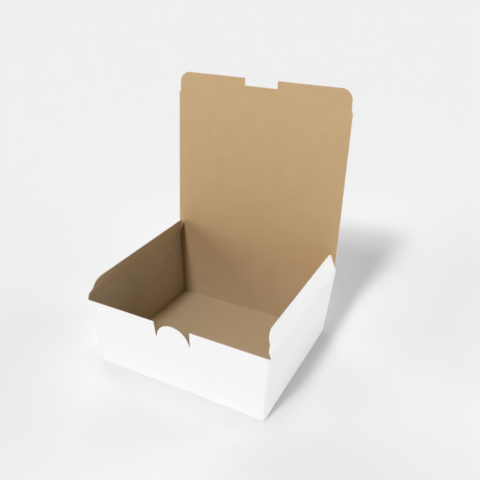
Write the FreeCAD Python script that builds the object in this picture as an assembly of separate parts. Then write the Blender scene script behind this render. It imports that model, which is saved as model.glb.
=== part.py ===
import FreeCAD, Part
import math
import os
from FreeCAD import Vector

# A takeaway box folded from one sheet of board: an open tray with flared walls, a lid on the back
# wall, a tuck flap on the lid's free edge and a side flap on each side wall. Lengths are in
# millimetres, +Z is up, the front wall faces -Y, and the origin is the centre of the underside.

# Board and creases
board = 0.45               # thickness of the sheet
fold_inside = 0.15         # inside radius of a fixed fold
crease_gap = 0.2           # gap along the inside of a crease that turns

# Tray
base_width = 120.0
base_depth = 100.0
height = 50.0              # underside to the crease of the lid
side_flare = 4.4           # each side wall leans out by this much over the height
end_flare = 3.9            # the front and back walls lean out by this much

# Clearances of the closed box
lid_rest_gap = 0.15        # lid above the front wall's edge, and above the folded side flaps
lid_side_gap = 0.35        # lid inside the upright side flaps, on each side
tuck_gap = 0.3             # tuck flap behind the front wall
flap_end_gap = 0.35        # side flap's ends, from the tuck flap and from the back wall

# Locking tongue in the front wall
slot_depth = 10.6
slot_half_top = 12.7
slot_half_bottom = 12.2
slot_corner = 0.3
tongue_radius = 11.5

# Glue tabs, folded from the front and back walls onto the insides of the side walls
tab_length = 28.0
tab_slope = 0.7            # fall of the tab's upper edge along its length
tab_drop_back = 1.1        # root of the upper edge below the top of the side wall
tab_drop_front = 3.0
tab_floor_gap = 1.5
tab_end_relief = 3.0       # rise of the tab's lower edge along its length
tab_corner = 2.0

# Side flaps
flap_height = 14.3
flap_shoulder_height = 4.5
flap_shoulder_depth = 3.35
flap_slant_height = 2.8
flap_front_radius = 6.8
flap_rear_radius = 4.0
flap_shoulder_radius = 0.8

# Lid and tuck flap
lid_lean = 5.0             # degrees the open lid leans back from upright
tuck_shoulder = 2.15       # stretch of the tuck flap that is as wide as the lid
tuck_height = 14.05        # from the shoulder to the free edge
tuck_step = 0.8            # narrowing at the shoulder, on each side
tuck_taper = 0.7           # further narrowing up to the free edge, on each side
tuck_radius = 7.3
notch_half_width = 11.85
notch_depth = 5.0
notch_radius = 0.6

side_angle = math.degrees(math.atan2(side_flare, height))
end_angle = math.degrees(math.atan2(end_flare, height))
side_skin = board / math.cos(math.radians(side_angle))
end_skin = board / math.cos(math.radians(end_angle))
cutter_reach = 4 * board   # how far a cutting solid goes past the board it trims
tab_bite = board / 2       # how far a glue tab goes into the wall that it is glued to
same_place = 1e-6          # points nearer than this are one point

X_AXIS = Vector(1, 0, 0)
Y_AXIS = Vector(0, 1, 0)
Z_AXIS = Vector(0, 0, 1)
ORIGIN = Vector(0, 0, 0)

os.makedirs("parts", exist_ok=True)


def half_width(z, inner=False):
    """Half the tray's width at height z, to the outer or the inner face of a side wall."""
    return base_width / 2 + side_flare * z / height - (side_skin if inner else 0)


def half_depth(z, inner=False):
    """Half the tray's depth at height z, to the outer or the inner face of an end wall."""
    return base_depth / 2 + end_flare * z / height - (end_skin if inner else 0)


# Heights of the edges, and where the lid and its flap turn
front_edge = height - lid_rest_gap
flap_crease = height - lid_rest_gap - board
lid_crease_y = half_depth(height, inner=True)
tuck_crease_y = half_depth(height, inner=True) - board - tuck_gap
lid_length = lid_crease_y + tuck_crease_y
lid_half = half_width(flap_crease, inner=True) - lid_side_gap


def rounded_outline(corners):
    """Closed outline in the XZ plane through (across, up, radius) corners, each with its arc."""
    spans = []
    count = len(corners)
    for index, (across, up, radius) in enumerate(corners):
        here = Vector(across, 0, up)
        before = Vector(corners[index - 1][0], 0, corners[index - 1][1]) - here
        after = Vector(corners[(index + 1) % count][0], 0, corners[(index + 1) % count][1]) - here
        before.normalize()
        after.normalize()
        half_turn = before.getAngle(after) / 2
        cut = radius / math.tan(half_turn)
        bisector = before + after
        bisector.normalize()
        middle = here + bisector * (radius / math.sin(half_turn) - radius)
        spans.append((here + before * cut, middle, here + after * cut, radius))
    edges = []
    for index, (start, middle, end, radius) in enumerate(spans):
        following = spans[(index + 1) % count][0]
        if radius > 0:
            edges.append(Part.Arc(start, middle, end).toShape())
        if end.distanceToPoint(following) > same_place:
            edges.append(Part.makeLine(end, following))
    return Part.Wire(edges)


def sheet(corners, thickness, start=0.0):
    """Flat piece of board with the given outline in XZ, from y = start to y = start + thickness."""
    face = Part.Face(rounded_outline(corners))
    face.translate(Vector(0, start, 0))
    return face.extrude(Vector(0, thickness, 0))


def prism_along_x(section, half_length):
    """Prism with a (y, z) section, running along X to half_length each way."""
    points = [Vector(-half_length, y, z) for y, z in section]
    return Part.Face(Part.makePolygon(points + points[:1])).extrude(Vector(2 * half_length, 0, 0))


def prism_along_y(section, half_length):
    """Prism with an (x, z) section, running along Y to half_length each way."""
    points = [Vector(x, -half_length, z) for x, z in section]
    return Part.Face(Part.makePolygon(points + points[:1])).extrude(Vector(0, 2 * half_length, 0))


def mirrored(shape):
    """Copy of a right-hand shape on the left."""
    return shape.mirror(ORIGIN, X_AXIS)


def flared_block(low, high, inner=False):
    """Solid bounded by the four wall planes, between two heights."""
    rings = []
    for z in (low, high):
        x = half_width(z, inner)
        y = half_depth(z, inner)
        ring = [Vector(-x, -y, z), Vector(x, -y, z), Vector(x, y, z), Vector(-x, y, z)]
        rings.append(Part.makePolygon(ring + ring[:1]))
    return Part.makeLoft(rings, True, True)


def round_folds(block, radius):
    """Round the floor folds and the corner folds, and leave the open rim sharp."""
    rim = block.BoundBox.ZMax
    folds = [edge for edge in block.Edges if edge.BoundBox.ZMin < rim - board]
    return block.makeFillet(radius, folds)


def side_glue_tab(end, drop):
    """Tab on the inside of the right wall, rooted in the back wall (end = 1) or front wall (-1)."""
    def root(up):
        return half_depth(up, inner=True) + tab_bite
    top = (flap_crease - drop) / math.cos(math.radians(side_angle))
    tip = root(top) - tab_length
    corners = [
        (root(tab_floor_gap), tab_floor_gap, 0),
        (root(top), top, 0),
        (tip, top - tab_slope * tab_length, tab_corner),
        (tip, tab_floor_gap + tab_end_relief, tab_corner),
    ]
    tab = sheet(corners, board + tab_bite, start=-tab_bite)
    tab.rotate(ORIGIN, Z_AXIS, 90)
    if end < 0:
        tab = tab.mirror(ORIGIN, Y_AXIS)
    tab.rotate(ORIGIN, Y_AXIS, side_angle)
    tab.translate(Vector(half_width(0, inner=True), 0, 0))
    return tab


def tongue_slot():
    """What is cut from the front wall, on each side of the half-round tongue."""
    rim = front_edge / math.cos(math.radians(end_angle))
    slant = (slot_half_top - slot_half_bottom) / slot_depth
    above = rim + board
    top = slot_half_top + slant * board
    corners = [
        (-top, above, 0),
        (-slot_half_bottom, rim - slot_depth, slot_corner),
        (slot_half_bottom, rim - slot_depth, slot_corner),
        (top, above, 0),
    ]
    slot = sheet(corners, 2 * cutter_reach, start=-cutter_reach)
    tongue_centre = Vector(0, -cutter_reach, rim - tongue_radius)
    slot = slot.cut(Part.makeCylinder(tongue_radius, 2 * cutter_reach, tongue_centre, Y_AXIS))
    slot.rotate(ORIGIN, X_AXIS, end_angle)
    slot.translate(Vector(0, -half_depth(0), 0))
    return slot


def trim_back_crease():
    """Waste above the lid's crease, with the outside of the board cut back at 45 degrees."""
    low = height - crease_gap / 2
    inside = half_depth(low, inner=True)
    back = inside + cutter_reach
    front = inside - cutter_reach
    top = height + cutter_reach
    section = [(front, low), (inside, low), (back, low - cutter_reach), (back, top), (front, top)]
    return prism_along_x(section, half_width(height) + cutter_reach)


def trim_side_crease():
    """Waste above the right side flap's crease, cut back in the same way."""
    low = flap_crease - crease_gap / 2
    inside = half_width(low, inner=True)
    outside = inside + cutter_reach
    top = height + cutter_reach
    section = [(inside, low), (outside, low - cutter_reach), (outside, top), (inside, top)]
    return prism_along_y(section, half_depth(height) + cutter_reach)


def trim_front_edge():
    """Waste above the front wall's cut edge."""
    front = -half_depth(height) - cutter_reach
    back = -half_depth(height) + cutter_reach
    top = height + cutter_reach
    section = [(front, front_edge), (back, front_edge), (back, top), (front, top)]
    return prism_along_x(section, half_width(height) + cutter_reach)


def make_tray():
    outer = round_folds(flared_block(0, height), fold_inside + board)
    inner = round_folds(flared_block(board, height + board, inner=True), fold_inside)
    shell = outer.cut(inner)
    tabs = [side_glue_tab(1, tab_drop_back), side_glue_tab(-1, tab_drop_front)]
    shell = shell.fuse(tabs + [mirrored(tab) for tab in tabs])
    side = trim_side_crease()
    waste = [side, mirrored(side), trim_back_crease(), trim_front_edge(), tongue_slot()]
    return shell.cut(waste).removeSplitter()


def bevel_root(flat):
    """Cut the lower edge of a flat flap at 45 degrees, just above its crease at the origin."""
    edge = crease_gap / 2
    reach = cutter_reach
    section = [(-reach, edge - reach), (reach, edge + reach), (reach, -reach), (-reach, -reach)]
    return flat.cut(prism_along_x(section, base_width + base_depth))


def place_on_lid(flat, up):
    """Stand a flat piece on the lid's plane, at a distance up from the lid's crease."""
    flat.translate(Vector(0, lid_crease_y, height + up))
    flat.rotate(Vector(0, lid_crease_y, height), X_AXIS, -lid_lean)
    return flat


def make_lid_panel():
    low = crease_gap / 2
    high = lid_length - crease_gap / 2
    section = [(0, low), (board, low + board), (board, high - board), (0, high)]
    return place_on_lid(prism_along_x(section, lid_half), 0)


def make_tuck_flap():
    top = tuck_shoulder + tuck_height
    neck = lid_half - tuck_step
    right = [
        (lid_half, 0, 0),
        (lid_half, tuck_shoulder, 0),
        (neck, tuck_shoulder, 0),
        (neck - tuck_taper, top, tuck_radius),
        (notch_half_width, top, notch_radius),
        (notch_half_width, top - notch_depth, notch_radius),
    ]
    left = [(-across, up, radius) for across, up, radius in reversed(right)]
    return place_on_lid(bevel_root(sheet(right + left, board)), lid_length)


def make_side_flap():
    """Right side flap, drawn with its front end towards +X and then turned to stand on its wall."""
    front = tuck_crease_y - flap_end_gap
    rear = -lid_crease_y + flap_end_gap
    inset = front - flap_shoulder_depth
    corners = [
        (rear, 0, 0),
        (rear, flap_height, flap_rear_radius),
        (inset, flap_height, flap_front_radius),
        (inset, flap_shoulder_height + flap_slant_height, 0),
        (front, flap_shoulder_height, flap_shoulder_radius),
        (front, 0, 0),
    ]
    flat = bevel_root(sheet(corners, board))
    flat.rotate(ORIGIN, Z_AXIS, -90)
    flat.translate(Vector(half_width(flap_crease, inner=True), 0, flap_crease))
    return flat


right_flap = make_side_flap()
pieces = {
    "tray": make_tray(),
    "lid_panel": make_lid_panel(),
    "tuck_flap": make_tuck_flap(),
    "right_side_flap": right_flap,
    "left_side_flap": mirrored(right_flap),
}
for name, shape in pieces.items():
    shape.exportStep(f"parts/{name}.step")
    box = shape.BoundBox
    print(f"{name}: {len(shape.Solids)} solid, valid {shape.isValid()}, {shape.Volume:.1f} mm3,"
          f" x {box.XMin:.2f}..{box.XMax:.2f} y {box.YMin:.2f}..{box.YMax:.2f}"
          f" z {box.ZMin:.2f}..{box.ZMax:.2f}")
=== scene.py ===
# %% [markdown]
# # A folding takeaway box
# The real box is one flat blank of food board, die-cut, creased, folded up and glued at four tabs.
# It is white and coated outside and bare brown kraft inside, and its cut edges are pale. It stands
# open: the lid is up in line with the back wall, and a flap stands on each side wall.
#
# The lesson makes it in the same way. Each piece is drawn flat, creased with a few cuts, folded
# by one function, and given its thickness and its three finishes by one Geometry Nodes tree.

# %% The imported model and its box
import math

import bmesh
import bpy
from mathutils import Matrix, Vector


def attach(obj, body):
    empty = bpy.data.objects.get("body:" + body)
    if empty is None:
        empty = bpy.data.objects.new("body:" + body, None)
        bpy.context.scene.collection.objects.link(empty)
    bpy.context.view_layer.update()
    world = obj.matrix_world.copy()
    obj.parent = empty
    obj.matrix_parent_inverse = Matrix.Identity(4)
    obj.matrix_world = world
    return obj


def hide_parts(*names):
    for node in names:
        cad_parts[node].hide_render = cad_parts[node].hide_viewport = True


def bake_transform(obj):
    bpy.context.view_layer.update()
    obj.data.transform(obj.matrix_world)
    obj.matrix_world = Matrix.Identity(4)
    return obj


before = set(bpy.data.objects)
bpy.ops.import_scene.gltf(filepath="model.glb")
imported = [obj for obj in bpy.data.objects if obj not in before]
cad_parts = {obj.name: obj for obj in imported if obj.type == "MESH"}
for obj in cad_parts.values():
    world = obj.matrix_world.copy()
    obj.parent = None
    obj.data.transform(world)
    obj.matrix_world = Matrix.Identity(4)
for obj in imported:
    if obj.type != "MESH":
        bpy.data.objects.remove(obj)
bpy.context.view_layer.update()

# %% [markdown]
# ## Sizes
# The tray is a flared box, so two small functions give its half width and half depth at any
# height. All the rest is measured from them. The board is 0.45 mm thick.

# %% Sizes of the tray
mm = 0.001
board = 0.45 * mm
base_width = 120 * mm
base_depth = 100 * mm
height = 50 * mm
side_flare = 4.4 * mm
end_flare = 3.9 * mm

# Clearances of the closed box
lid_rest_gap = 0.15 * mm
lid_side_gap = 0.35 * mm
tuck_gap = 0.3 * mm
flap_front_gap = 0.35 * mm
flap_rear_gap = 0.15 * mm

side_angle = math.atan2(side_flare, height)
end_angle = math.atan2(end_flare, height)
side_skin = board / math.cos(side_angle)
end_skin = board / math.cos(end_angle)

front_edge = height - lid_rest_gap
flap_crease = front_edge - board


def half_width(z, skins=0):
    """Half the tray's width at a height, inside so many thicknesses of the side wall."""
    return base_width / 2 + side_flare * z / height - skins * side_skin


def half_depth(z, skins=0):
    """Half the tray's depth at a height, inside so many thicknesses of the end wall."""
    return base_depth / 2 + end_flare * z / height - skins * end_skin


lid_crease_y = half_depth(height, 1)
tuck_crease_y = lid_crease_y - board - tuck_gap
lid_length = lid_crease_y + tuck_crease_y
lid_half = half_width(flap_crease, 1) - lid_side_gap
print(f"lid {2 * lid_half / mm:.1f} x {lid_length / mm:.1f} mm, board {board / mm} mm")

# %% [markdown]
# ## Camera and stage
# The photograph looks down at the box from the front and a little from the right. Its lens is
# about 42 mm on a 36 mm sensor. The stage is a plain pale floor that runs on past the picture.

# %% Camera
camera_azimuth = math.radians(27.633)
camera_elevation = math.radians(27.405)
camera_data = bpy.data.cameras.new("photo_view")
camera_data.lens = 41.897
camera_data.sensor_width = 36
camera = bpy.data.objects.new("photo_view", camera_data)
camera.location = (0.160376, -0.272456, 0.246805)
camera.rotation_euler = (math.pi / 2 - camera_elevation, 0, camera_azimuth)
bpy.context.scene.collection.objects.link(camera)
bpy.context.scene.camera = camera
bpy.context.scene.view_settings.view_transform = "Standard"

# %% [markdown]
# ## Shader sums
# A finish mixes a few soft patterns. Written as sums they stay readable, so a small class wraps a
# socket and turns +, - and * into Math nodes. One more method makes any other node.

# %% Sums on sockets


class Wire:
    """A socket of a finish, or a sum of such sockets."""

    def __init__(self, finish, socket):
        self.finish = finish
        self.socket = socket

    def sum(self, operation, first, second):
        return self.finish.node("ShaderNodeMath", {"operation": operation}, [first, second])

    def __add__(self, other):
        return self.sum("ADD", self, other)

    __radd__ = __add__

    def __sub__(self, other):
        return self.sum("SUBTRACT", self, other)

    def __rsub__(self, other):
        return self.sum("SUBTRACT", other, self)

    def __mul__(self, other):
        return self.sum("MULTIPLY", self, other)

    __rmul__ = __mul__


class Finish:
    """A material whose nodes are made one call at a time."""

    def __init__(self, name):
        self.material = bpy.data.materials.new(name)
        self.material.use_nodes = True
        self.tree = self.material.node_tree
        self.tree.nodes.clear()

    def put(self, socket, value):
        if isinstance(value, Wire):
            self.tree.links.new(value.socket, socket)
        else:
            socket.default_value = value

    def node(self, kind, settings=None, values=(), output=0):
        """Any node: its settings, its sockets' values or wires, and which output to hand back."""
        node = self.tree.nodes.new(kind)
        for name, setting in (settings or {}).items():
            setattr(node, name, setting)
        pairs = values.items() if isinstance(values, dict) else enumerate(values)
        for socket, value in pairs:
            self.put(node.inputs[socket], value)
        return Wire(self, node.outputs[output]) if node.outputs else None

    def attribute(self, name, output="Fac"):
        """A value that make_board keeps at every point of the sheet."""
        return self.node("ShaderNodeAttribute", {"attribute_name": name}, output=output)

    def blended(self, share, first, second):
        """A colour between two, by a share from 0 to 1."""
        settings = {"data_type": "RGBA"}
        return self.node("ShaderNodeMix", settings, {0: share, 6: first, 7: second}, output=2)

    def surface(self, **values):
        """The shader itself, wired to the output."""
        sockets = {name.replace("_", " "): value for name, value in values.items()}
        shader = self.node("ShaderNodeBsdfPrincipled", values=sockets)
        self.node("ShaderNodeOutputMaterial", values={"Surface": shader})


def noise(flat, scale, detail=2.0, roughness=0.5, stretch=(1, 1, 1)):
    """Noise on the flat blank, from about 0 to 1, at so many waves a metre."""
    finish = flat.finish
    placed = finish.node("ShaderNodeMapping", values={"Vector": flat, "Scale": stretch})
    values = {"Vector": placed, "Scale": scale, "Detail": detail, "Roughness": roughness}
    return finish.node("ShaderNodeTexNoise", {"noise_dimensions": "3D"}, values)


# %% [markdown]
# ## The three finishes
# Each pattern is laid out on the flat blank, whose place is kept in the attribute "blank", so the
# fibres run on over every crease as they do in real board.
#
# Kraft is unbleached pulp: brown, matt, with long fibres one way and a few darker flecks. Light
# and shade are painted into it: greyer on the side walls and low in the tray, a little darker on
# the end walls and at the lid's foot, paler on the base, carried by two attributes of the sheet.
# The outside is clay-coated: white, smooth, slightly glossy. The cut edge shows the pale core.

# %% Kraft inside


def kraft_finish():
    finish = Finish("kraft_inside")
    flat = finish.attribute("blank", "Vector")
    cloud = noise(flat, 90, detail=3)
    mottle = noise(flat, 900, detail=3, roughness=0.6)
    fibre = noise(flat, 700, detail=4, roughness=0.65, stretch=(1, 7, 1))
    fleck = noise(flat, 1500, detail=1, stretch=(1, 3, 1))
    flecks = finish.node(
        "ShaderNodeMapRange", {"interpolation_type": "SMOOTHSTEP"}, [fleck, 0.70, 0.78, 0.0, 1.0]
    )
    # Painted light and shade: the kraft is made paler or darker by panel and height.
    painted_light_shade = finish.attribute("painted_light_shade")
    tone = (cloud - 0.5) * 0.25 + (mottle - 0.5) * 0.35 + (fibre - 0.5) * 0.55 + painted_light_shade + 0.5
    brown = finish.blended(tone, (0.470, 0.305, 0.158, 1), (0.660, 0.457, 0.252, 1))
    # A greyer kraft that stands in for the shade inside the tray: painted shade, mixed in by its
    # attribute.
    shaded_kraft = finish.blended(tone, (0.404, 0.329, 0.222, 1), (0.568, 0.493, 0.352, 1))
    brown = finish.blended(finish.attribute("painted_shade_grey"), brown, shaded_kraft)
    brown = finish.blended(flecks * 0.35, brown, (0.26, 0.15, 0.075, 1))
    rough = finish.node(
        "ShaderNodeBump",
        values={"Strength": 0.35, "Distance": 0.00004, "Height": fibre * 0.7 + mottle * 0.3},
    )
    finish.surface(
        Base_Color=brown,
        Roughness=0.95 - fibre * 0.15,
        Normal=rough,
        Specular_IOR_Level=0.3,
    )
    return finish.material


kraft_inside = kraft_finish()

# %% White coated outside


def coated_finish():
    finish = Finish("white_coated_outside")
    flat = finish.attribute("blank", "Vector")
    cloud = noise(flat, 60, detail=2)
    grain = noise(flat, 1300, detail=3, roughness=0.6, stretch=(1, 2.5, 1))
    tone = (cloud - 0.5) * 0.5 + (grain - 0.5) * 0.7 + 0.5
    white = finish.blended(tone, (0.915, 0.915, 0.915, 1), (0.945, 0.945, 0.943, 1))
    waves = finish.node(
        "ShaderNodeBump",
        values={"Strength": 0.25, "Distance": 0.00002, "Height": grain},
    )
    finish.surface(
        Base_Color=white,
        Roughness=0.42 + (cloud - 0.5) * 0.12 + (grain - 0.5) * 0.10,
        Normal=waves,
        Specular_IOR_Level=0.4,
    )
    return finish.material


white_coated_outside = coated_finish()

# %% Pale cut edge


def cut_finish():
    finish = Finish("pale_cut_edge")
    flat = finish.attribute("blank", "Vector")
    ragged = noise(flat, 2200, detail=3, roughness=0.7)
    cream = finish.blended(ragged, (0.89, 0.87, 0.83, 1), (0.98, 0.97, 0.945, 1))
    finish.surface(Base_Color=cream, Roughness=0.9, Specular_IOR_Level=0.3)
    return finish.material


pale_cut_edge = cut_finish()

# %% [markdown]
# ## Board from a folded sheet
# A folded sheet has no thickness yet: it is only the kraft face. One rule makes it board. Every
# point has an outward direction, and the white face is the kraft face moved along it. The open
# borders are extruded the same way, which gives the cut edges. A Geometry Nodes tree does this
# for all five pieces, with the thickness and the three finishes as its inputs. Where a crease is
# pressed in, the attribute "press" makes the board thinner on its outside.

# %% The board tree


class Tree:
    """A Geometry Nodes tree, with its nodes made one call at a time."""

    def __init__(self, name):
        self.tree = bpy.data.node_groups.new(name, "GeometryNodeTree")

    def socket(self, name, kind, in_out="INPUT"):
        return self.tree.interface.new_socket(name, in_out=in_out, socket_type=kind)

    def node(self, kind, settings=None, values=()):
        node = self.tree.nodes.new(kind)
        for name, setting in (settings or {}).items():
            setattr(node, name, setting)
        pairs = values.items() if isinstance(values, dict) else enumerate(values)
        for name, value in pairs:
            if isinstance(value, bpy.types.NodeSocket):
                self.tree.links.new(value, node.inputs[name])
            else:
                node.inputs[name].default_value = value
        return node

    def attribute(self, name, kind):
        named = self.node("GeometryNodeInputNamedAttribute", {"data_type": kind}, {"Name": name})
        return named.outputs[0]

    def marked(self, geometry, side):
        """The geometry with its faces' attribute "side" set to a number."""
        settings = {"data_type": "INT", "domain": "FACE"}
        values = {"Geometry": geometry, "Name": "side", "Value": side}
        return self.node("GeometryNodeStoreNamedAttribute", settings, values).outputs[0]


def board_tree():
    made = Tree("board_from_folded_sheet")
    made.socket("Sheet", "NodeSocketGeometry")
    made.socket("Thickness", "NodeSocketFloat")
    for name in ("Inside", "Outside", "Cut Edge"):
        made.socket(name, "NodeSocketMaterial")
    made.socket("Board", "NodeSocketGeometry", "OUTPUT")
    given = made.node("NodeGroupInput")
    sheet = given.outputs["Sheet"]

    thickness = made.node(
        "ShaderNodeMath",
        {"operation": "MULTIPLY"},
        [given.outputs["Thickness"], made.attribute("press", "FLOAT")],
    )
    reach = made.node(
        "ShaderNodeVectorMath",
        {"operation": "SCALE"},
        {0: made.attribute("outward", "FLOAT_VECTOR"), "Scale": thickness.outputs[0]},
    ).outputs[0]

    inside = made.marked(sheet, 0)
    moved = made.node("GeometryNodeSetPosition", values={"Geometry": sheet, "Offset": reach})
    flipped = made.node("GeometryNodeFlipFaces", values={"Mesh": moved.outputs[0]})
    outside = made.marked(flipped.outputs[0], 1)

    faces = made.node("GeometryNodeInputMeshEdgeNeighbors").outputs["Face Count"]
    border = made.node(
        "FunctionNodeCompare", {"data_type": "INT", "operation": "EQUAL"}, {2: faces, 3: 1}
    ).outputs[0]
    walled = made.node(
        "GeometryNodeExtrudeMesh",
        {"mode": "EDGES"},
        {"Mesh": sheet, "Selection": border, "Offset Scale": 0.0},
    )
    not_wall = made.node(
        "FunctionNodeBooleanMath", {"operation": "NOT"}, [walled.outputs["Side"]]
    ).outputs[0]
    wall = made.node(
        "GeometryNodeDeleteGeometry",
        {"domain": "FACE", "mode": "ALL"},
        {"Geometry": walled.outputs["Mesh"], "Selection": not_wall},
    )
    raised = made.node(
        "GeometryNodeSetPosition",
        values={"Geometry": wall.outputs[0], "Selection": walled.outputs["Top"], "Offset": reach},
    )
    edge = made.marked(raised.outputs[0], 2)

    joined = made.node("GeometryNodeJoinGeometry")
    for part in (inside, outside, edge):
        made.tree.links.new(part, joined.inputs[0])
    welded = made.node(
        "GeometryNodeMergeByDistance", values={"Geometry": joined.outputs[0], "Distance": 1e-7}
    )
    shown = made.node("GeometryNodeRealizeInstances", values=[welded.outputs[0]]).outputs[0]
    side = made.attribute("side", "INT")
    for number, name in enumerate(("Inside", "Outside", "Cut Edge")):
        chosen = made.node(
            "FunctionNodeCompare",
            {"data_type": "INT", "operation": "EQUAL"},
            {2: side, 3: number},
        ).outputs[0]
        values = {"Geometry": shown, "Selection": chosen, "Material": given.outputs[name]}
        shown = made.node("GeometryNodeSetMaterial", values=values).outputs[0]
    made.node("NodeGroupOutput", values=[shown])
    return made.tree


board_rule = board_tree()

# %% [markdown]
# ## Drawing and folding a blank
# A blank is drawn panel by panel in the plane, as the die would cut it. It is then cut across
# wherever it will bend, so that there are points to bend.
#
# A fold leaves alone what lies before its line, wraps what comes next round the inside radius,
# and carries the rest along on the turned plane. It does the same to the outward direction.

# %% Blank and fold


class Blank:
    """Panels drawn in the plane that share the points on their common creases."""

    def __init__(self):
        self.mesh = bmesh.new()
        self.panels = []
        self.panel = self.mesh.faces.layers.int.new("panel")
        self.points = {}

    def draw(self, name, outline):
        corners = []
        for x, y in outline:
            key = (round(x, 8), round(y, 8))
            if key not in self.points:
                self.points[key] = self.mesh.verts.new((x, y, 0))
            if not corners or corners[-1] is not self.points[key]:
                corners.append(self.points[key])
        face = self.mesh.faces.new(corners)
        if face_turn(outline) < 0:
            face.normal_flip()
        if name not in self.panels:
            self.panels.append(name)
        face[self.panel] = self.panels.index(name)

    def cut(self, names, point, across):
        """Cut some panels along a line through a point, square to a direction."""
        wanted = {self.panels.index(name) for name in names}
        faces = [face for face in self.mesh.faces if face[self.panel] in wanted]
        edges = list({edge for face in faces for edge in face.edges})
        verts = list({vert for face in faces for vert in face.verts})
        bmesh.ops.bisect_plane(
            self.mesh,
            geom=verts + edges + faces,
            dist=1e-7,
            plane_co=(point[0], point[1], 0),
            plane_no=(across[0], across[1], 0),
        )

    def panel_of(self, vert):
        return self.panels[min(face[self.panel] for face in vert.link_faces)]


def face_turn(outline):
    """Twice the signed area of an outline: positive when it runs anticlockwise."""
    total = 0
    for (x0, y0), (x1, y1) in zip(outline, outline[1:] + outline[:1]):
        total += x0 * y1 - x1 * y0
    return total


def fold(point, outward, line, across, angle, radius):
    """Fold up what lies beyond a line of the flat sheet, by an angle round an inside radius."""
    up = Vector((0, 0, 1))
    along = up.cross(across)
    from_line = point - line
    distance = from_line.dot(across)
    arc = radius * angle
    turned = angle * min(max(distance / arc, 0), 1)
    beyond = distance if distance < 0 else max(distance - arc, 0)
    radial = math.sin(turned) * across - math.cos(turned) * up
    onward = math.cos(turned) * across + math.sin(turned) * up
    place = line + along * from_line.dot(along) + up * radius
    place += radial * (radius - from_line.dot(up)) + onward * beyond
    turned_out = along * outward.dot(along) + onward * outward.dot(across)
    turned_out -= radial * outward.dot(up)
    return place, turned_out


def rounded(corners, steps=6):
    """Points of an open outline through (x, y, radius) corners, each with its arc."""
    points = [Vector(corners[0][:2])]
    for before, (x, y, radius), after in zip(corners, corners[1:], corners[2:]):
        here = Vector((x, y))
        if not radius:
            points.append(here)
            continue
        back = (Vector(before[:2]) - here).normalized()
        on = (Vector(after[:2]) - here).normalized()
        half_turn = back.angle(on) / 2
        centre = here + (back + on).normalized() * (radius / math.sin(half_turn))
        start = here + back * (radius / math.tan(half_turn)) - centre
        end = here + on * (radius / math.tan(half_turn)) - centre
        sweep = math.pi - 2 * half_turn
        for step in range(steps + 1):
            share = step / steps
            spoke = start * math.sin((1 - share) * sweep) + end * math.sin(share * sweep)
            points.append(centre + spoke / math.sin(sweep))
    points.append(Vector(corners[-1][:2]))
    return [tuple(point) for point in points]


# %% [markdown]
# ## From blank to piece
# The last helper folds every point, keeps what the finishes and the board tree need as
# attributes, runs the tree, and turns the result into a plain mesh.

# %% Painted shade and light on the kraft, panel by panel
# Painted shade: how much greyer the kraft is made on each panel.
side_wall_painted_grey = 1.0
side_rim_painted_grey = 0.8
flap_painted_grey = 0.6
base_painted_grey = 0.5
# Painted light and shade: how much paler the base, and how much darker the end walls and lid foot,
# are made.
base_painted_light = 0.15
end_wall_painted_shade = 0.25


def painted_shade_grey_of(panel, z):
    """How much painted shade greys the kraft: most on the side walls, not at all up on the lid."""
    if panel in ("right", "left", "tab"):
        return side_wall_painted_grey - (side_wall_painted_grey - side_rim_painted_grey) * z / height
    if panel == "flap":
        return flap_painted_grey
    return base_painted_grey * max(0, 1 - z / height)


def painted_light_shade_of(panel, z):
    """Painted light and shade: how far a panel's kraft is made paler or darker than the rest, as a
    share of its range.
    """
    if panel == "base":
        return base_painted_light
    if panel in ("back", "front"):
        return -end_wall_painted_shade
    # Painted shade: the lid is darker at its foot, fading out towards its top.
    if panel == "lid":
        return -end_wall_painted_shade * max(0, 1 - (z - height) / lid_length)
    return 0.0


# %% Make a piece of board


def make_board(name, blank, folded, flat_shift=(0, 0)):
    """Fold a blank, make it board, and return the finished object."""
    mesh = blank.mesh
    outward = mesh.verts.layers.float_vector.new("outward")
    flat = mesh.verts.layers.float_vector.new("blank")
    press = mesh.verts.layers.float.new("press")
    painted_shade_grey = mesh.verts.layers.float.new("painted_shade_grey")
    painted_light_shade = mesh.verts.layers.float.new("painted_light_shade")
    for vert in mesh.verts:
        panel = blank.panel_of(vert)
        flat_place = vert.co.copy()
        place, out, thickness = folded(panel, flat_place)
        vert[flat] = flat_place + Vector((flat_shift[0], flat_shift[1], 0))
        vert[outward] = out
        vert[press] = thickness
        # Painted shade: how much greyer the kraft is made at this point.
        vert[painted_shade_grey] = painted_shade_grey_of(panel, place.z)
        # Painted light and shade: how much paler or darker the kraft is made at this point.
        vert[painted_light_shade] = painted_light_shade_of(panel, place.z)
        vert.co = place
    data = bpy.data.meshes.new(name)
    mesh.to_mesh(data)
    mesh.free()
    piece = bpy.data.objects.new(name, data)
    bpy.context.scene.collection.objects.link(piece)

    rule = piece.modifiers.new("board", "NODES")
    rule.node_group = board_rule
    inputs = {item.name: item.identifier for item in board_rule.interface.items_tree}
    rule[inputs["Thickness"]] = board
    rule[inputs["Inside"]] = kraft_inside
    rule[inputs["Outside"]] = white_coated_outside
    rule[inputs["Cut Edge"]] = pale_cut_edge
    bpy.context.view_layer.update()
    evaluated = piece.evaluated_get(bpy.context.evaluated_depsgraph_get())
    piece.data = bpy.data.meshes.new_from_object(evaluated)
    piece.modifiers.clear()
    bpy.data.meshes.remove(data)
    piece.data.name = name
    close_and_smooth(piece.data)
    return piece


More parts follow.
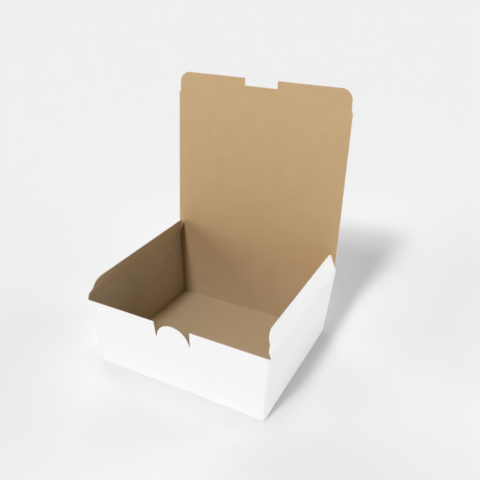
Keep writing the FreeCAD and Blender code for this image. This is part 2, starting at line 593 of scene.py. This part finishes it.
def close_and_smooth(data, sharp=math.radians(33)):
    """Point the faces outwards, and shade the folds smooth and the cut edges sharp."""
    mesh = bmesh.new()
    mesh.from_mesh(data)
    bmesh.ops.recalc_face_normals(mesh, faces=mesh.faces)
    open_edges = 0
    for face in mesh.faces:
        face.smooth = True
    for edge in mesh.edges:
        if len(edge.link_faces) != 2:
            open_edges += 1
        elif edge.calc_face_angle() > sharp:
            edge.smooth = False
    mesh.to_mesh(data)
    top = max(vert.co.z for vert in data.vertices)
    print(f"{data.name}: {len(mesh.faces)} faces, {open_edges} open edges, top {top / mm:.2f} mm")
    mesh.free()


# %% [markdown]
# ## The tray
# Base, four walls and four glue tabs are one blank. The tabs belong to the front and back walls
# and fold in behind the side walls, so each corner shows the side wall's cut edge beside the
# fold. A fixed fold is round inside and nearly square outside, as pressed board is, and a tab's
# end is crushed thin against the wall. The front wall has the half-round tongue, cut free at both
# sides.
#
# The walls stop just short of the creases that move. The moving pieces begin there.

# %% Creases of the tray
fold_inside = 0.15 * mm
fold_steps = 6
fold_thickest = 1.45       # most that the board may swell on the outside of a fold
support = 0.5 * mm         # a last cut beyond each fold, so that the flat stays flat
root_depth = 0.7 * mm      # how far below its crease a moving piece begins
tab_play = 0.03 * mm
side_turn = math.pi / 2 - side_angle
end_turn = math.pi / 2 - end_angle
corner_turn = math.acos(math.sin(side_angle) * math.sin(end_angle))
side_tangent = fold_inside * math.tan(side_turn / 2)
end_tangent = fold_inside * math.tan(end_turn / 2)
corner_tangent = fold_inside * math.tan(corner_turn / 2)
base_x = half_width(board, 1) - side_tangent
base_y = half_depth(board, 1) - end_tangent


def side_out(z):
    """How far from the middle of the blank the right wall reaches its height z."""
    up = (z - board) / math.cos(side_angle)
    return base_x + fold_inside * side_turn + up - side_tangent


def end_out(z):
    """The same for the front or back wall."""
    up = (z - board) / math.cos(end_angle)
    return base_y + fold_inside * end_turn + up - end_tangent


def corner_point(z):
    """Where the right-hand corner fold starts on the flat back wall, at height z."""
    inner = half_width(z, 2) - tab_play
    slope = side_flare / height * math.cos(end_angle)
    return Vector((inner - corner_tangent * math.hypot(1, slope), end_out(z), 0))


corner_start = corner_point(board)
corner_run = (corner_point(height) - corner_start).normalized()
corner_across = Vector((corner_run.y, -corner_run.x, 0))
print(f"folds turn {math.degrees(side_turn):.2f}, {math.degrees(end_turn):.2f}"
      f" and {math.degrees(corner_turn):.2f} degrees")

# %% Draw the tray's blank
tab_length = 28 * mm
back_tab_drop = 1.1 * mm
front_tab_drop = 3.0 * mm
tab_slope = 0.7
tab_floor_gap = 1.5 * mm
tab_end_relief = 3 * mm
tab_corner = 2 * mm
tab_relief = 0.02 * mm
tab_crushed = 9 * mm       # length of the tab's end that is pressed thin
tab_end_share = 0.2        # thickness that is left at the very end
fold_clear = 0.7 * mm      # height above the base where the corner's free edges begin
edge_set_back = 0.06 * mm
corner_play = 0.05 * mm
rim_play = 0.1 * mm
slot_depth = 10.6 * mm
slot_half_top = 12.7 * mm
slot_half_bottom = 12.2 * mm
tongue_radius = 11.5 * mm
flap_front = flap_front_gap - tuck_crease_y
flap_rear = lid_crease_y - flap_rear_gap


def wall_side(z):
    """The back wall's free edge, beside the side wall, at height z."""
    return (half_width(z, 1) - corner_play, end_out(z))


def tab_outline(drop):
    """Right-hand glue tab of the back wall, in the flat, from its lower to its upper root."""
    low = corner_point(board + tab_floor_gap)
    high = corner_point(flap_crease - drop)
    tip_low = low + corner_across * tab_length + corner_run * tab_end_relief
    tip_high = high + corner_across * tab_length - corner_run * tab_slope * tab_length
    return rounded([(*low.xy, 0), (*tip_low.xy, tab_corner), (*tip_high.xy, tab_corner),
                    (*high.xy, 0)])


def end_wall_side(drop, top):
    """Right side of the back wall, upwards: its lower edge, the tab's root and its free top."""
    low = corner_point(board + tab_floor_gap)
    high = corner_point(flap_crease - drop)
    return [(base_x, base_y), wall_side(board + fold_clear),
            wall_side(board + tab_floor_gap - tab_relief), tuple(low.xy), tuple(high.xy),
            wall_side(flap_crease - drop + tab_relief), wall_side(top)]


def side_wall_outline():
    """The right wall: its front and rear edges lie beside the end walls' folds."""
    def edge(z):
        return half_depth(z) - edge_set_back
    low = board + fold_clear
    full = flap_crease - rim_play
    top = flap_crease - root_depth
    return [(base_x, -base_y), (side_out(low), -edge(low)), (side_out(full), -edge(full)),
            (side_out(full), flap_front), (side_out(top), flap_front),
            (side_out(top), flap_rear), (side_out(full), flap_rear),
            (side_out(full), edge(full)), (side_out(low), edge(low)), (base_x, base_y)]


def tongue_outline(steps=16):
    """The front wall's rim from the right slit over the tongue to the middle, as (x, height)."""
    slant = math.cos(end_angle)
    bottom = front_edge - slot_depth * slant
    inner = math.sqrt(tongue_radius ** 2 - (tongue_radius - slot_depth) ** 2)
    points = [(slot_half_top, front_edge), (slot_half_bottom, bottom), (inner, bottom)]
    start = math.atan2(tongue_radius - slot_depth, inner)
    for step in range(1, steps + 1):
        turn = start + (math.pi / 2 - start) * step / steps
        rise = tongue_radius * math.sin(turn) - tongue_radius
        points.append((tongue_radius * math.cos(turn), front_edge + rise * slant))
    return points


def flipped(points, x=1, y=1):
    """The same points on the other side of the blank."""
    turned = [(x * px, y * py) for px, py in points]
    return turned[::-1] if x * y < 0 else turned


def tray_blank():
    blank = Blank()
    blank.draw("base", [(-base_x, -base_y), (base_x, -base_y), (base_x, base_y), (-base_x, base_y)])
    side = side_wall_outline()
    blank.draw("right", side)
    blank.draw("left", flipped(side, x=-1))
    back = end_wall_side(back_tab_drop, height - root_depth)
    blank.draw("back", back + flipped(back, x=-1))
    front = end_wall_side(front_tab_drop, front_edge)
    front += [(x, end_out(z)) for x, z in tongue_outline()]
    blank.draw("front", flipped(front + flipped(front, x=-1), y=-1))
    for end, drop in ((1, back_tab_drop), (-1, front_tab_drop)):
        for hand in (1, -1):
            blank.draw("tab", flipped(tab_outline(drop), x=hand, y=end))
    return blank


def crease_cuts(arc):
    """Distances beyond the start of a fold at which the sheet is cut."""
    return [-support] + [arc * step / fold_steps for step in range(fold_steps + 1)] + [arc + support]


tray_sheet = tray_blank()
for offset in crease_cuts(fold_inside * end_turn):
    for end, name in ((1, "back"), (-1, "front")):
        tray_sheet.cut([name, "base"], (0, end * (base_y + offset)), (0, 1))
for offset in crease_cuts(fold_inside * side_turn):
    for hand, name in ((1, "right"), (-1, "left")):
        tray_sheet.cut([name, "base"], (hand * (base_x + offset), 0), (1, 0))
corner_cuts = crease_cuts(fold_inside * corner_turn)
corner_cuts += [tab_length - share * tab_crushed for share in (1.0, 0.66, 0.33)]
for offset in corner_cuts:
    point = corner_start + corner_across * offset
    for end, wall in ((1, "back"), (-1, "front")):
        for hand in (1, -1):
            across = (hand * corner_across.x, end * corner_across.y)
            names = [wall] if offset <= 0 else ["tab"]
            tray_sheet.cut(names, (hand * point.x, end * point.y), across)
print("tray blank:", len(tray_sheet.mesh.faces), "faces")

# %% Fold the tray


def crisp(distance, angle):
    """The board's thickness through a fixed fold, as a share that keeps its outside square."""
    turned = distance / fold_inside
    if not 0 < turned < angle:
        return 1.0
    outer = (fold_inside + board) / math.cos(min(turned, angle - turned))
    return min((outer - fold_inside) / board, fold_thickest)


def fold_tray(panel, point):
    """Fold one point of the tray's blank: the corner first, then its wall."""
    out = Vector((0, 0, -1))
    hand = 1 if point.x > 0 else -1
    end = 1 if point.y > 0 else -1
    thickness = 1.0
    if panel in ("back", "front", "tab"):
        thickness = crisp(abs(point.y) - base_y, end_turn)
    elif panel in ("right", "left"):
        thickness = crisp(abs(point.x) - base_x, side_turn)
    if panel == "tab":
        line = Vector((hand * corner_start.x, end * corner_start.y, 0))
        across = Vector((hand * corner_across.x, end * corner_across.y, 0))
        along_tab = (point - line).dot(across)
        thickness = crisp(along_tab, corner_turn)
        near_end = max(0, (along_tab - tab_length) / tab_crushed + 1)
        if near_end:
            thickness = 1 - (1 - tab_end_share) * near_end
            point = point + out * board * (1 - thickness)
        point, out = fold(point, out, line, across, corner_turn, fold_inside)
    if panel in ("back", "front", "tab"):
        line = Vector((0, end * base_y, 0))
        point, out = fold(point, out, line, Vector((0, end, 0)), end_turn, fold_inside)
    if panel in ("right", "left"):
        line = Vector((hand * base_x, 0, 0))
        point, out = fold(point, out, line, Vector((hand, 0, 0)), side_turn, fold_inside)
    return point + Vector((0, 0, board)), out, thickness


tray_board = make_board("tray_board", tray_sheet, fold_tray)
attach(tray_board, "tray")
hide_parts("tray")

# %% [markdown]
# ## The lid and its tuck flap
# Both are flat, and lean back a little. Each starts a hair below its crease, on the panel before
# it, and turns at the crease, so the board bends there and stays in one skin. The crease
# is pressed in a little on the outside, as a creasing rule leaves it.

# %% Creases that turn
press_half = 0.3 * mm
press_share = 0.3
press_rows = [-press_half, -press_half / 2, 0.0, press_half / 2, press_half]


def pressed(distance):
    """The board's thickness beside a moving crease, as a share."""
    return 1 - press_share * max(0, 1 - abs(distance) / press_half)


# %% Lid
lid_lean = math.radians(5)


def on_lid(x, up):
    """A place on the lid's inside, and which way is out there. Below 0 is the back wall."""
    lean = lid_lean if up >= 0 else end_angle
    place = Vector((x, lid_crease_y + up * math.sin(lean), height + up * math.cos(lean)))
    return place, Vector((0, math.cos(lean), -math.sin(lean)))


def fold_lid(panel, point):
    place, out = on_lid(point.x, point.y)
    return place, out, pressed(point.y)


lid_foot = wall_side(height - root_depth)[0]
lid_taper = 6 * mm
lid_sheet = Blank()
lid_side = [(lid_foot, -root_depth), (lid_foot, lid_taper / 3), (lid_half, lid_taper),
            (lid_half, lid_length - root_depth)]
lid_sheet.draw("lid", lid_side + flipped(lid_side, x=-1))
for row in press_rows:
    lid_sheet.cut(["lid"], (0, row), (0, 1))
lid_board = make_board("lid_board", lid_sheet, fold_lid, (0, end_out(height)))
on_lid(0, -press_half)[0]
on_lid(0, press_half)[0]
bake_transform(lid_board)
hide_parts("lid_panel")

# %% Tuck flap
tuck_shoulder = 2.15 * mm
tuck_height = 14.05 * mm
tuck_step = 0.8 * mm
tuck_taper = 0.7 * mm
tuck_radius = 7.3 * mm
notch_half = 11.85 * mm
notch_depth = 5 * mm
notch_radius = 0.6 * mm


def tuck_outline():
    top = tuck_shoulder + tuck_height
    neck = lid_half - tuck_step
    right = rounded([
        (lid_half, -root_depth, 0),
        (lid_half, tuck_shoulder, 0),
        (neck, tuck_shoulder, 0),
        (neck - tuck_taper, top, tuck_radius),
        (notch_half, top, notch_radius),
        (notch_half, top - notch_depth, notch_radius),
        (0, top - notch_depth, 0),
    ], steps=10)
    return right + flipped(right, x=-1)[1:]


def fold_tuck(panel, point):
    place, out = on_lid(point.x, lid_length + point.y)
    return place, out, pressed(point.y)


tuck_sheet = Blank()
tuck_sheet.draw("tuck", tuck_outline())
for row in press_rows:
    tuck_sheet.cut(["tuck"], (0, row), (0, 1))
tuck_board = make_board("tuck_board", tuck_sheet, fold_tuck, (0, end_out(height) + lid_length))
on_lid(0, lid_length - press_half)[0]
on_lid(0, lid_length + press_half)[0]
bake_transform(tuck_board)
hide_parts("tuck_flap")

# %% [markdown]
# ## The side flaps
# They have been folded before, so they do not stand straight up: they lean in over the tray by
# 18 degrees. Each starts upright at its crease, bends over within two millimetres, and runs on
# straight.

# %% Side flaps
flap_height = 14.3 * mm
flap_shoulder_height = 4.5 * mm
flap_shoulder_depth = 3.35 * mm
flap_slant_height = 2.8 * mm
flap_front_radius = 6.8 * mm
flap_rear_radius = 4 * mm
flap_shoulder_radius = 0.8 * mm
flap_lean = math.radians(18)
lean_start = 0.2 * mm
lean_end = 1.7 * mm
lean_rows = 10


def flap_tilt(up):
    """How far the flap has tipped inwards at a distance up from its crease."""
    share = min(max((up - lean_start) / (lean_end - lean_start), 0), 1)
    return flap_lean * share * share * (3 - 2 * share)


def on_flap(hand, y, up, steps=60):
    """A place on the flap's inside, and which way is out there. Below 0 is the side wall."""
    x = half_width(flap_crease, 1)
    z = flap_crease
    if up < 0:
        tilt = -side_angle
        x -= up * math.sin(tilt)
        z += up * math.cos(tilt)
    else:
        tilt = flap_tilt(up)
        for step in range(steps):
            middle = flap_tilt(up * (step + 0.5) / steps)
            x -= math.sin(middle) * up / steps
            z += math.cos(middle) * up / steps
    return Vector((hand * x, y, z)), Vector((hand * math.cos(tilt), 0, math.sin(tilt)))


def flap_outline():
    """The right flap in the flat, as (distance up, place along the wall), front end first."""
    inset = flap_front + flap_shoulder_depth
    corners = [
        (-root_depth, flap_front, 0),
        (flap_shoulder_height, flap_front, flap_shoulder_radius),
        (flap_shoulder_height + flap_slant_height, inset, 0),
        (flap_height, inset, flap_front_radius),
        (flap_height, flap_rear, flap_rear_radius),
        (-root_depth, flap_rear, 0),
    ]
    return rounded(corners, steps=10)


def make_flap(name, hand, body):
    sheet = Blank()
    sheet.draw("flap", flipped(flap_outline(), x=hand))
    lean_step = (lean_end - lean_start) / lean_rows
    for row in press_rows + [lean_start + lean_step * step for step in range(lean_rows + 1)]:
        sheet.cut(["flap"], (hand * row, 0), (1, 0))

    def fold_flap(panel, point):
        up = hand * point.x
        place, out = on_flap(hand, point.y, up)
        return place, out, pressed(up)

    piece = make_board(name, sheet, fold_flap, (hand * side_out(flap_crease), 0))
    on_flap(hand, 0, -press_half)[0]
    on_flap(hand, 0, press_half)[0]
    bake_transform(piece)
    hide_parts(body)
    return piece


left_flap = make_flap("left_flap_board", -1, "left_side_flap")
right_flap = make_flap("right_flap_board", 1, "right_side_flap")

# %% [markdown]
# ## Floor and light
# The floor is plain and pale, and keeps the shadow. For the camera it is a little paler than for
# the light that it throws back on the box, and darker close to the box, where less of the room's
# light gets in.
#
# Two keys stand in front, half way up and a little to the left, and make the soft shadow behind
# the box. The other lamps are wide and weaker, all round, so that no side goes dark. They are
# suns, because a sun lights every place alike, and its width sets how soft it is.

# %% Floor
floor_reach = 8.0
floor_drop = 0.05 * mm
contact_reach = 21 * mm
floor_mesh = bmesh.new()
bmesh.ops.create_grid(floor_mesh, x_segments=8, y_segments=8, size=floor_reach)
floor_data = bpy.data.meshes.new("floor")
floor_mesh.to_mesh(floor_data)
floor_mesh.free()
floor_data.transform(Matrix.Translation((0, 0, -floor_drop)))
floor = bpy.data.objects.new("floor", floor_data)
bpy.context.scene.collection.objects.link(floor)
floor_finish = Finish("pale_floor")
seen = floor_finish.node("ShaderNodeLightPath", output="Is Camera Ray")
open_sky = floor_finish.node(
    "ShaderNodeAmbientOcclusion", {"samples": 4}, {"Distance": contact_reach}, output="AO"
)
shown_floor = floor_finish.blended(open_sky, (0.65, 0.65, 0.65, 1), (0.967, 0.967, 0.967, 1))
floor_colour = floor_finish.blended(seen, (0.83, 0.83, 0.83, 1), shown_floor)
floor_finish.surface(Base_Color=floor_colour, Roughness=1.0, Specular_IOR_Level=0.0)
floor_data.materials.append(floor_finish.material)

# %% Backdrop beyond the floor, seen by the camera and in the coating's gloss, giving no light
world = bpy.data.worlds.new("studio")
bpy.context.scene.world = world
world.use_nodes = True
nodes = world.node_tree.nodes
links = world.node_tree.links
nodes.clear()
path = nodes.new("ShaderNodeLightPath")
seen_or_gloss = nodes.new("ShaderNodeMath")
seen_or_gloss.operation = "MAXIMUM"
backdrop = nodes.new("ShaderNodeBackground")
backdrop.inputs["Color"].default_value = (0.871, 0.871, 0.871, 1)
surface = nodes.new("ShaderNodeOutputWorld")
links.new(path.outputs["Is Camera Ray"], seen_or_gloss.inputs[0])
links.new(path.outputs["Is Glossy Ray"], seen_or_gloss.inputs[1])
links.new(seen_or_gloss.outputs[0], backdrop.inputs["Strength"])
links.new(backdrop.outputs[0], surface.inputs["Surface"])

# %% Lamps: (name, degrees round from the front, degrees up, width in degrees, strength)
lamps = [
    ("key_front", -6, 45, 8, 1.06),
    ("key_above", -10, 52, 12, 0.68),
    ("high_left", -90, 62, 38, 0.24),
    ("high_back", 180, 62, 38, 0.23),
    ("back_left", -135, 35, 38, 0.78),
    ("front_left", -45, 12, 38, 1.28),
    ("low_right", 90, 12, 38, 0.65),
    ("low_back_right", 135, 12, 38, 0.93),
    ("lowest_back_right", 135, 4, 8, 0.77),
]
for name, around, up, width, strength in lamps:
    turn = math.radians(around)
    rise = math.radians(up)
    towards = Vector((math.sin(turn) * math.cos(rise), -math.cos(turn) * math.cos(rise),
                      math.sin(rise)))
    lamp_data = bpy.data.lights.new(name, "SUN")
    lamp_data.energy = strength
    lamp_data.angle = math.radians(width)
    lamp = bpy.data.objects.new(name, lamp_data)
    lamp.rotation_euler = towards.to_track_quat("Z", "Y").to_euler()
    bpy.context.scene.collection.objects.link(lamp)
